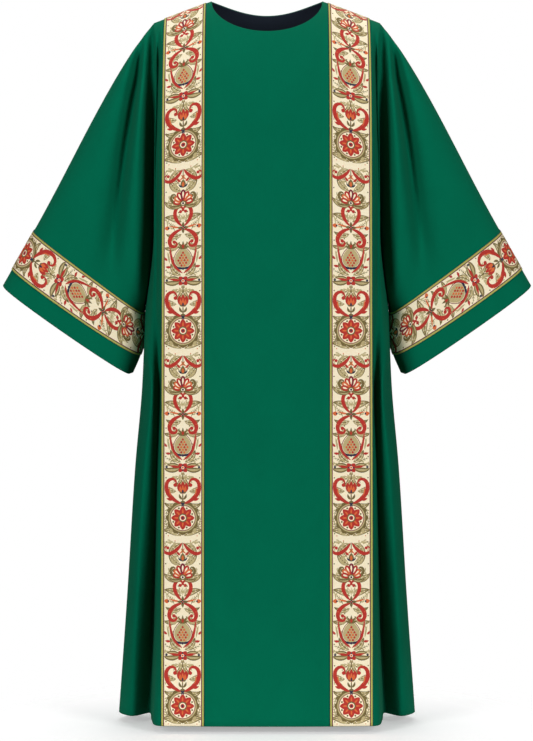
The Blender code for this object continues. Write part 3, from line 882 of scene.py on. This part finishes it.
def draw_fan(art, y):
    """A fan of seven lobes over two volutes."""
    art.pair("olive", leaf((1, y - 3), -35, 26, 6.0, 70))
    art.pair("tan", leaf((4, y - 5), -28, 18, 2.4, 55))
    art.scroll("olive", (0.8, y - 4), 10, 46, 60, 300, 4.2, 0.7)
    for k, thread in enumerate(("red", "orange", "red", "wine", "red", "orange", "red")):
        heading = 90 + (k - 3) * 25
        long = 25 - abs(k - 3) * 2.2
        art.put(thread, bud(round_to((0, y), long, heading), heading + 180, long, 10.5, 0.9, 14))
        inner = round_to((0, y), long * 0.86, heading)
        art.put("cream", bud(inner, heading + 180, long / 2, 3.4, 0.7, 8))
    art.put("olive", disc((0, y), 6.2, 16, squash=0.8))
    art.put("cream", disc((0, y), 3.6, 12, squash=0.8))
    art.put("navy", disc((0, y), 2.0, 8))


def draw_garland(art, y):
    """A hanging garland round a bud."""
    art.spray((5, y + 4), 40, 28, 30, 5, 9)
    art.scroll("red", (1.5, y + 31), 300, 56, 60, 250, 5.2)
    art.pair("red", leaf((10.5, y + 16), 250, 10, 4.2, -50))
    art.pair("orange", leaf((3.5, y + 22), 240, 15, 3.0, -30))
    art.put("olive", bud((0, y - 2), 90, 15, 9.0, 0.5))
    art.put("orange", bud((0, y), 90, 9, 4.4, 0.5, 12))
    art.pair("navy", leaf((1, y - 1), 20, 10, 3.0, 40))
    art.put("olive", brush(sweep((0, y + 12), 90, 20), 1.6, 0.5, 0.6))


def galloon_pattern():
    art = Pattern()
    for stripe in STRIPES:
        art.stripe(*stripe)
    for x, y, *form in PLUMES:
        art.plume((x, y), *form)
    for x, y, *form in TENDRILS:
        art.tendril((x, y), *form)
    draw_rosette(art, 36)
    draw_lyre(art, 63)
    draw_spread(art, 126)
    draw_pomegranate(art, 150)
    draw_knot(art, 222)
    draw_fan(art, 266)
    draw_garland(art, 296)
    for dot in DOTS:
        art.pair(dot.thread, disc((dot.x, dot.y), dot.radius, 7))
    return art.marks


def inside(points, shape):
    """Which points an outline goes round."""
    x, y = points[:, :1], points[:, 1:]
    ax, ay = shape.T
    bx, by = np.roll(shape, -1, axis=0).T
    crossing = (ay > y) != (by > y)
    at = ax + (y - ay) * (bx - ax) / np.where(by == ay, 1.0, by - ay)
    return (np.where(crossing & (x < at), np.sign(by - ay), 0).sum(axis=1)) != 0


THREADS = ("cream", "red", "wine", "olive", "tan", "orange", "navy", "gold")  # by material slot


def cut_tile(marks):
    """The tile's points and triangles, cut along every outline, and each triangle's thread."""
    points, edges = [], []
    for _, shape in marks:
        first, count = len(points), len(shape)
        points += [Vector(p) for p in shape]
        edges += [(first + k, first + (k + 1) % count) for k in range(count)]
    steps = np.arange(TILE_STEP / 2, TILE_LENGTH, TILE_STEP)
    points += [Vector((x, y)) for x in INNER_LINES for y in steps]
    verts, _, faces, _, _, _ = delaunay_2d_cdt(points, edges, [], 0, MERGE_DISTANCE)
    verts = np.array([tuple(v) for v in verts])
    faces = np.array(faces)
    centres = verts[faces].mean(axis=1)
    threads = np.zeros(len(faces), int)
    for thread, shape in marks:
        near = np.all((centres > shape.min(axis=0)) & (centres < shape.max(axis=0)), axis=1)
        chosen = np.flatnonzero(near)
        hit = chosen[inside(centres[chosen], shape)]
        threads[hit] = THREADS.index(thread)
    return verts, faces, threads


def lay_on(grid, across, along):
    """Values of a grid read between its rows and columns."""
    i = np.clip(along.astype(int), 0, grid.shape[0] - 2)
    j = np.clip(across.astype(int), 0, grid.shape[1] - 2)
    s, t = (along - i)[:, None], (across - j)[:, None]
    near = grid[i, j] * (1 - t) + grid[i, j + 1] * t
    far = grid[i + 1, j] * (1 - t) + grid[i + 1, j + 1] * t
    return near * (1 - s) + far * s


def band_piece(name, grid, out, places, tile, repeats):
    """A woven band on a strip's surface: the tile repeated along it, over a plain underside.
    Places are the strip's columns across the band, from -1 to 1."""
    verts, faces, threads = tile
    layers = [verts + (0, k * TILE_LENGTH) for k in range(repeats)]
    loose = np.round(np.concatenate(layers), 3)
    flat, same = np.unique(loose, axis=0, return_inverse=True)
    same = same.ravel()
    top = np.concatenate([same[faces + k * len(verts)] for k in range(repeats)])
    slots = np.tile(threads, repeats)

    lines = sorted({h for stripe in STRIPES for h in (-stripe.half, stripe.half)} | set(GROUND_LINES))
    steps = np.linspace(0, repeats * TILE_LENGTH, repeats * round(TILE_LENGTH / TILE_STEP) + 1)
    under = np.array([(x, y) for y in steps for x in lines])
    columns = len(lines)
    first = len(flat)
    i, j = cells(len(steps) - 1, columns - 1)
    corner = first + i * columns + j
    below = np.stack((corner, corner + columns, corner + columns + 1, corner + 1), axis=1)

    index = {key: k for k, key in enumerate(map(tuple, flat))}
    last = (len(steps) - 1) * columns
    loop = [k * columns + columns - 1 for k in range(len(steps))]
    loop += [last + j for j in range(columns - 2, -1, -1)]
    loop += [k * columns for k in range(len(steps) - 2, -1, -1)]
    loop += list(range(1, columns - 1))
    upper = [index[tuple(np.round(under[k], 3))] for k in loop]
    turn = list(range(1, len(loop))) + [0]
    rim = [(upper[b], upper[a], first + loop[a], first + loop[b]) for a, b in enumerate(turn)]

    place = np.concatenate((flat, under))
    length = lengths_along(grid[:, grid.shape[1] // 2])
    along = np.interp(place[:, 1] / (repeats * TILE_LENGTH) * length[-1], length, np.arange(len(length)))
    across = np.interp(place[:, 0] / TILE_HALF, places, np.arange(len(places)))
    rise = np.full((len(place), 1), SEAM_GAP)
    rise[:first] += BAND_WALL
    points = lay_on(grid, across, along) + unit(lay_on(out, across, along)) * rise
    flat_size = np.stack((place[:, 0] * MM, place[:, 1] / (repeats * TILE_LENGTH) * length[-1]), axis=1)

    mesh_faces = top.tolist() + below.tolist() + rim
    corners = np.array([k for face in mesh_faces for k in face])
    slots = np.concatenate((slots, np.full(len(below) + len(rim), THREADS.index("navy"))))
    piece = add_mesh(name, points, mesh_faces, flat_size[corners], [FINISHES[t] for t in THREADS], slots)
    facing_out(piece)
    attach(piece, "root")
    return piece


STITCH_PITCH = 3.4 * MM
STITCH_LENGTH = 2.4 * MM
STITCH_THICKNESS = 0.22 * MM
STITCH_PLACE = 0.94  # across the band: 0 is its middle, 1 its edge
STITCH_FACES = ((0, 2, 4), (0, 4, 3), (0, 3, 5), (0, 5, 2), (1, 4, 2), (1, 3, 4), (1, 5, 3), (1, 2, 5))


def stitches(name, lines, finish):
    """Rows of short stitches. Each line is its points and their outward directions."""
    verts, faces = [], []
    for points, outs in lines:
        length = lengths_along(points)
        count = int(length[-1] / STITCH_PITCH)
        at = (np.arange(count) + 0.5) * STITCH_PITCH
        ends = []
        for shift in (-STITCH_LENGTH / 2, 0, STITCH_LENGTH / 2):
            ends.append(np.stack([np.interp(at + shift, length, points[:, k]) for k in range(3)], axis=1))
        out = unit(np.stack([np.interp(at, length, outs[:, k]) for k in range(3)], axis=1))
        near, middle, far = ends
        side = unit(np.cross(far - near, out)) * STITCH_THICKNESS
        lift = out * STITCH_THICKNESS
        ring = (near - lift / 2, far - lift / 2, middle + side, middle - side, middle + lift, middle - lift)
        first = sum(len(v) for v in verts)
        verts.append(np.stack(ring, axis=1).reshape(-1, 3))
        base = first + len(ring) * np.arange(count)[:, None]
        for corners in STITCH_FACES:
            faces.append(base + np.array(corners))
    verts, faces = np.concatenate(verts), np.concatenate(faces)
    piece = add_mesh(name, verts, faces.tolist(), np.zeros((3 * len(faces), 2)), [finish])
    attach(piece, "root")
    return piece


# Materials

SHEEN_ROUGHNESS = 0.5
SHEEN_TINT = (0.5, 0.27, 0.14, 1)
RIB_PERIODS = {"X": math.pi / 10, "Y": math.pi / 10, "DIAGONAL": math.pi / 5}  # at scale 1
MIX_COLOURS = (6, 7)  # the mix node's sockets for its two colours
# Sizes across and along of the noise that gives the yarns and the cloudy tone
YARN_CELL = (0.8 * MM, 14 * MM)
WEFT_CELL = (11 * MM, 0.7 * MM)
CLOUD_CELL = (70 * MM, 90 * MM)
THREAD_CELL = (0.55 * MM, 0.8 * MM)
CLOTH_RELIEF = 0.06 * MM
THREAD_RELIEF = 0.08 * MM


def srgb(*values):
    """A colour given as the eye sees it, 0 to 255, as linear light."""
    return tuple((v / 255 / 12.92) if v <= 10 else ((v / 255 + 0.055) / 1.055) ** 2.4 for v in values)


class Nodes:
    """The nodes of a material or of the world, with short ways to add and link them."""

    def __init__(self, owner):
        owner.use_nodes = True
        self.nodes = owner.node_tree.nodes
        self.links = owner.node_tree.links

    def add(self, kind, *inputs, **settings):
        node = self.nodes.new("ShaderNode" + kind)
        for name, value in settings.items():
            setattr(node, name, value)
        for socket, value in inputs:
            self.put(node.inputs[socket], value)
        return node

    def put(self, socket, value):
        if isinstance(value, bpy.types.NodeSocket):
            self.links.new(value, socket)
        else:
            socket.default_value = value


class Cloth(Nodes):
    """A woven material, worked out from the UV map in metres."""

    def __init__(self, name, roughness, specular, sheen):
        self.made = bpy.data.materials.new(name)
        super().__init__(self.made)
        self.shader = self.nodes["Principled BSDF"]
        self.shader.inputs["Roughness"].default_value = roughness
        self.shader.inputs["Specular IOR Level"].default_value = specular
        self.shader.inputs["Sheen Weight"].default_value = sheen
        self.shader.inputs["Sheen Roughness"].default_value = SHEEN_ROUGHNESS
        self.shader.inputs["Sheen Tint"].default_value = SHEEN_TINT
        self.place = self.add("UVMap", uv_map="cloth").outputs["UV"]

    def math(self, operation, a, b):
        return self.add("Math", (0, a), (1, b), operation=operation).outputs[0]

    def weighted(self, *parts):
        """The sum of values, each times its weight."""
        products = [self.math("MULTIPLY", value, weight) for value, weight in parts]
        total = products[0]
        for product in products[1:]:
            total = self.math("ADD", total, product)
        return total

    def scaled(self, across, along):
        return self.add("Mapping", ("Vector", self.place), ("Scale", (1 / across, 1 / along, 1))).outputs[0]

    def noise(self, across, along, detail=1.0):
        """Smooth noise from 0 to 1, with cells of this size in metres."""
        vector = self.scaled(across, along)
        return self.add("TexNoise", ("Vector", vector), ("Scale", 1.0), ("Detail", detail)).outputs[0]

    def ribs(self, pitch, direction):
        """Fine ribs at this pitch: across, along or diagonal."""
        scale = RIB_PERIODS[direction] / pitch
        node = self.add("TexWave", ("Vector", self.place), ("Scale", scale), bands_direction=direction)
        return node.outputs["Fac"]

    def crossings(self, across, along):
        """A random value for each place where a warp and a weft thread cross."""
        cell = self.add("VectorMath", (0, self.scaled(across, along)), operation="FLOOR").outputs[0]
        return self.add("TexWhiteNoise", ("Vector", cell), noise_dimensions="3D").outputs["Value"]

    def between(self, share, low, high):
        first, second = MIX_COLOURS
        node = self.add("Mix", (0, share), (first, (*low, 1)), (second, (*high, 1)), data_type="RGBA")
        return node.outputs[2]

    def finish(self, colour, height, distance):
        bump = self.add("Bump", ("Height", height), ("Distance", distance), ("Strength", 1.0))
        self.put(self.shader.inputs["Base Color"], colour)
        self.put(self.shader.inputs["Normal"], bump.outputs[0])
        return self.made


def cloth_material(name, dark, light, pitch, specular, sheen):
    """A fine twill: diagonal ribs, yarns of uneven thickness and a cloudy tone."""
    cloth = Cloth(name, roughness=0.85, specular=specular, sheen=sheen)
    twill = cloth.ribs(pitch, "DIAGONAL")
    yarn = cloth.noise(*YARN_CELL)
    weft = cloth.noise(*WEFT_CELL)
    cloud = cloth.noise(*CLOUD_CELL, detail=2.0)
    tone = cloth.weighted((twill, 0.25), (yarn, 0.3), (weft, 0.2), (cloud, 0.25))
    height = cloth.math("ADD", twill, cloth.math("ADD", yarn, weft))
    return cloth.finish(cloth.between(tone, srgb(*dark), srgb(*light)), height, CLOTH_RELIEF)


def thread_material(name, dark, light):
    """Pattern threads: each crossing has its own tone, with fine ribs over it."""
    cloth = Cloth(name, roughness=0.7, specular=0.2, sheen=0.05)
    crossing = cloth.crossings(*THREAD_CELL)
    warp = cloth.ribs(THREAD_CELL[0], "X")
    weft = cloth.ribs(THREAD_CELL[1], "Y")
    tone = cloth.weighted((crossing, 0.7), (weft, 0.3))
    height = cloth.math("ADD", weft, cloth.math("MULTIPLY", warp, 0.5))
    return cloth.finish(cloth.between(tone, srgb(*dark), srgb(*light)), height, THREAD_RELIEF)


GREEN = cloth_material(
    "green_cloth", (0, 86, 62), (0, 114, 84), pitch=1.1 * MM, specular=0.02, sheen=0.04)
NAVY = cloth_material(
    "navy_lining", (24, 30, 42), (42, 50, 64), pitch=0.9 * MM, specular=0.2, sheen=0.0)
# Each thread's dark and light tone, as the eye sees them
TONES = {
    "cream": ((243, 222, 180), (255, 248, 224)),
    "red": ((168, 34, 28), (200, 62, 50)),
    "wine": ((104, 20, 34), (140, 44, 60)),
    "olive": ((92, 76, 42), (134, 116, 66)),
    "tan": ((170, 152, 102), (204, 188, 140)),
    "orange": ((204, 84, 42), (230, 124, 70)),
    "navy": ((28, 28, 52), (56, 56, 82)),
    "gold": ((160, 158, 74), (190, 188, 100)),
}
FINISHES = {thread: thread_material("galloon_" + thread, *tones) for thread, tones in TONES.items()}


def cloth_shell(name, grid, out, finish, ring=False):
    """A piece of green cloth: sunk seams, a turned-up hem and soft free edges."""
    sink = np.zeros(grid.shape[:2])
    sink[0] = SEAM_SINK
    if not ring:
        sink[:, (0, -1)] = SEAM_SINK
        centre = grid.shape[1] // 2
        sink[0, centre - NECK_COLUMNS + 1 : centre + NECK_COLUMNS] = 0
    length = lengths_along(grid)
    to_hem = length[-1:] - length
    wall = CLOTH_WALL + HEM_EXTRA * ease((HEM_TURN_UP - to_hem) / HEM_STEP + 1)
    outer = grid - out * sink[..., None]
    inner = grid - out * wall[..., None]
    first_edge = 0 if ring else EDGE_ROUND / 2
    piece = shell(name, outer, inner, [finish], ring, (first_edge, EDGE_ROUND))
    facing_out(piece)
    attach(piece, "root")
    return piece


def dress():
    """Makes every piece of the garment. Returns the pieces and the orphreys' stitches by node."""
    front, back = panel_grid("front"), panel_grid("back")
    right = sleeve_grid(front, back)
    front_out, back_out = normals_of(front, 1), normals_of(back, -1)
    right_out = normals_of(right, -1, ring=True)
    share_directions(front_out, back_out, right_out)
    pieces = {
        "front": cloth_shell("cloth_front", front, front_out, GREEN),
        "back": cloth_shell("cloth_back", back, back_out, GREEN),
        "sleeve_right": cloth_shell("cloth_sleeve_right", right, right_out, GREEN, True),
        "sleeve_left": cloth_shell("cloth_sleeve_left", right * MIRROR, right_out * MIRROR, GREEN, True),
    }

    tile = cut_tile(galloon_pattern())
    centre = front.shape[1] // 2
    first = centre + NECK_COLUMNS + 2
    columns = np.arange(first, first + BAND_COLUMNS + 1)
    ridge = (front[:1, columns] + back[:1, columns]) / 2
    strip = np.concatenate((front[:0:-1, columns], ridge, back[1:, columns]))
    strip_outs = (front_out[:0:-1, columns], front_out[:1, columns], back_out[1:, columns])
    strip_out = unit(np.concatenate(strip_outs))
    strip_places = np.linspace(-1, 1, BAND_COLUMNS + 1)

    rows = np.arange(SLEEVE_ROWS, SLEEVE_ROWS + SLEEVE_BAND_ROWS + 1)
    rings = right.shape[1]
    around = (UPPER_ROWS + np.arange(rings + 1)) % rings
    cuff = right[rows][:, around].transpose(1, 0, 2)
    cuff_out = right_out[rows][:, around].transpose(1, 0, 2)
    cuff_places = np.linspace(-1, 1, SLEEVE_BAND_ROWS + 1)

    sewing = {}
    for side, flip in (("right", 1), ("left", MIRROR)):
        band = band_piece(
            "galloon_" + side, strip * flip, strip_out * flip, strip_places, tile, BAND_REPEATS)
        pieces["orphrey_" + side] = band
        ring = band_piece(
            "galloon_sleeve_" + side, cuff * flip, cuff_out * flip, cuff_places, tile, CUFF_REPEATS)
        pieces["sleeve_band_" + side] = ring
        lines = []
        for grid, out, places in ((strip, strip_out, strip_places), (cuff, cuff_out, cuff_places)):
            along = np.arange(len(grid), dtype=float)
            for place in (-STITCH_PLACE, STITCH_PLACE):
                across = np.full(len(grid), np.interp(place, places, np.arange(len(places))))
                points = lay_on(grid, across, along)
                outs = unit(lay_on(out, across, along))
                lines.append(((points + outs * (SEAM_GAP + BAND_WALL)) * flip, outs * flip))
        sewing["orphrey_" + side] = stitches("stitches_" + side, lines, FINISHES["gold"])

    neck = slice(centre - NECK_COLUMNS, centre + NECK_COLUMNS + 1)
    facing_rows = slice(0, FACING_ROWS + 1)
    grid, out = back[facing_rows, neck], back_out[facing_rows, neck]
    outer = grid - out * (CLOTH_WALL + SEAM_GAP)
    facing = shell("facing_neck", outer, outer - out * FACING_WALL, [NAVY])
    facing_out(facing)
    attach(facing, "root")
    pieces["neck_facing"] = facing
    return pieces, sewing


# What each piece was cut to before it was sewn: its greatest width and length, and its area
Cut = namedtuple("Cut", "width length area held rests_on")
CUTS = {
    "front": Cut(0.92, 1.38, 0.90, "hung", ()),
    "back": Cut(0.88, 1.38, 0.89, "hung", ()),
    "sleeve_right": Cut(1.12, 0.58, 0.30, "hung", ("cloth_front", "cloth_back")),
    "sleeve_left": Cut(1.12, 0.58, 0.30, "hung", ("cloth_front", "cloth_back")),
    "orphrey_right": Cut(0.078, 2.72, None, "laid", ("cloth_front", "cloth_back")),
    "orphrey_left": Cut(0.078, 2.72, None, "laid", ("cloth_front", "cloth_back")),
    "sleeve_band_right": Cut(0.082, 0.69, None, "laid", ("cloth_sleeve_right",)),
    "sleeve_band_left": Cut(0.082, 0.69, None, "laid", ("cloth_sleeve_left",)),
    "neck_facing": Cut(0.25, 0.065, 0.013, "laid", ("cloth_back",)),
}

pieces, sewing = dress()
for node, cut in CUTS.items():
    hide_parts(node)


# Stage, lights and camera

CAMERA_PLACE = (-0.9 * MM, -4.0, -670.3 * MM)
CAMERA_LENS = 103.6
SENSOR_WIDTH = 36.0
FLOOR_DROP = 14 * MM
FLOOR_SIZE = 3.0
FLOOR_COLOUR = (0.9, 0.9, 0.9, 1)
FLOOR_GLOW = (0.36, 0.36, 0.36, 1)  # only the camera sees it
FLOOR_FADE = (0.34, 0.62)  # from and to this distance from the middle, in metres
WHITE = (1, 1, 1, 1)
SKY_LIGHT = 0.06
AIM = (0, 0, -0.65)
LIGHTS = table(
    "name place size power",
    ("key_left", (-2.7, -3.6, 0.1), (1.2, 2.4), 114),
    ("key_right", (2.7, -3.6, 0.1), (1.2, 2.4), 114),
    ("overhead", (0, 0.5, 2.2), (2.4, 2.4), 62),
    ("back_fill", (0, 4.2, 0.2), (2.6, 2.6), 60),
)


def add_floor():
    """A pale floor that fades out round the garment."""
    z = HEM_Z - FLOOR_DROP
    corners = [(x * FLOOR_SIZE, y * FLOOR_SIZE, z) for x, y in ((-1, -1), (1, -1), (1, 1), (-1, 1))]
    mesh = bpy.data.meshes.new("floor")
    mesh.from_pydata(corners, [], [(0, 1, 2, 3)])
    made = bpy.data.materials.new("floor")
    tree = Nodes(made)
    tree.nodes.clear()
    diffuse = tree.add("BsdfDiffuse", ("Color", FLOOR_COLOUR))
    seen = tree.add("LightPath").outputs["Is Camera Ray"]
    glow = tree.add("Emission", ("Color", FLOOR_GLOW), ("Strength", seen))
    lit = tree.add("AddShader", (0, diffuse.outputs[0]), (1, glow.outputs[0]))
    clear = tree.add("BsdfTransparent")
    place = tree.add("TexCoord").outputs["Object"]
    flat = tree.add("VectorMath", (0, place), (1, (1, 1, 0)), operation="MULTIPLY")
    reach = tree.add("VectorMath", (0, flat.outputs[0]), operation="LENGTH")
    near, far = FLOOR_FADE
    fade = tree.add(
        "MapRange", ("Value", reach.outputs["Value"]), ("From Min", near), ("From Max", far),
        interpolation_type="SMOOTHSTEP")
    mix = tree.add("MixShader", (0, fade.outputs[0]), (1, lit.outputs[0]), (2, clear.outputs[0]))
    tree.add("OutputMaterial", ("Surface", mix.outputs[0]))
    mesh.materials.append(made)
    add_object("floor", mesh)


def add_light(name, place, size, power):
    light = bpy.data.lights.new(name, "AREA")
    light.shape = "RECTANGLE"
    light.size, light.size_y = size
    light.energy = power
    lamp = add_object(name, light)
    lamp.location = place
    lamp.rotation_euler = (Vector(AIM) - Vector(place)).to_track_quat("-Z", "Y").to_euler()


def add_world():
    """White where the camera sees it, and a dim light all round."""
    world = bpy.data.worlds.new("studio")
    tree = Nodes(world)
    seen = tree.add("LightPath").outputs["Is Camera Ray"]
    strength = tree.add("MapRange", ("Value", seen), ("To Min", SKY_LIGHT), ("To Max", 1.0))
    sky = tree.nodes["Background"]
    tree.put(sky.inputs["Color"], WHITE)
    tree.put(sky.inputs["Strength"], strength.outputs[0])
    bpy.context.scene.world = world


def add_camera():
    data = bpy.data.cameras.new("camera")
    data.lens = CAMERA_LENS
    data.sensor_width = SENSOR_WIDTH
    camera = add_object("camera", data)
    camera.location = CAMERA_PLACE
    camera.rotation_euler = (math.pi / 2, 0, 0)
    bpy.context.scene.camera = camera


add_floor()
add_world()
add_camera()
for light in LIGHTS:
    add_light(*light)
bpy.context.scene.view_settings.view_transform = "Standard"
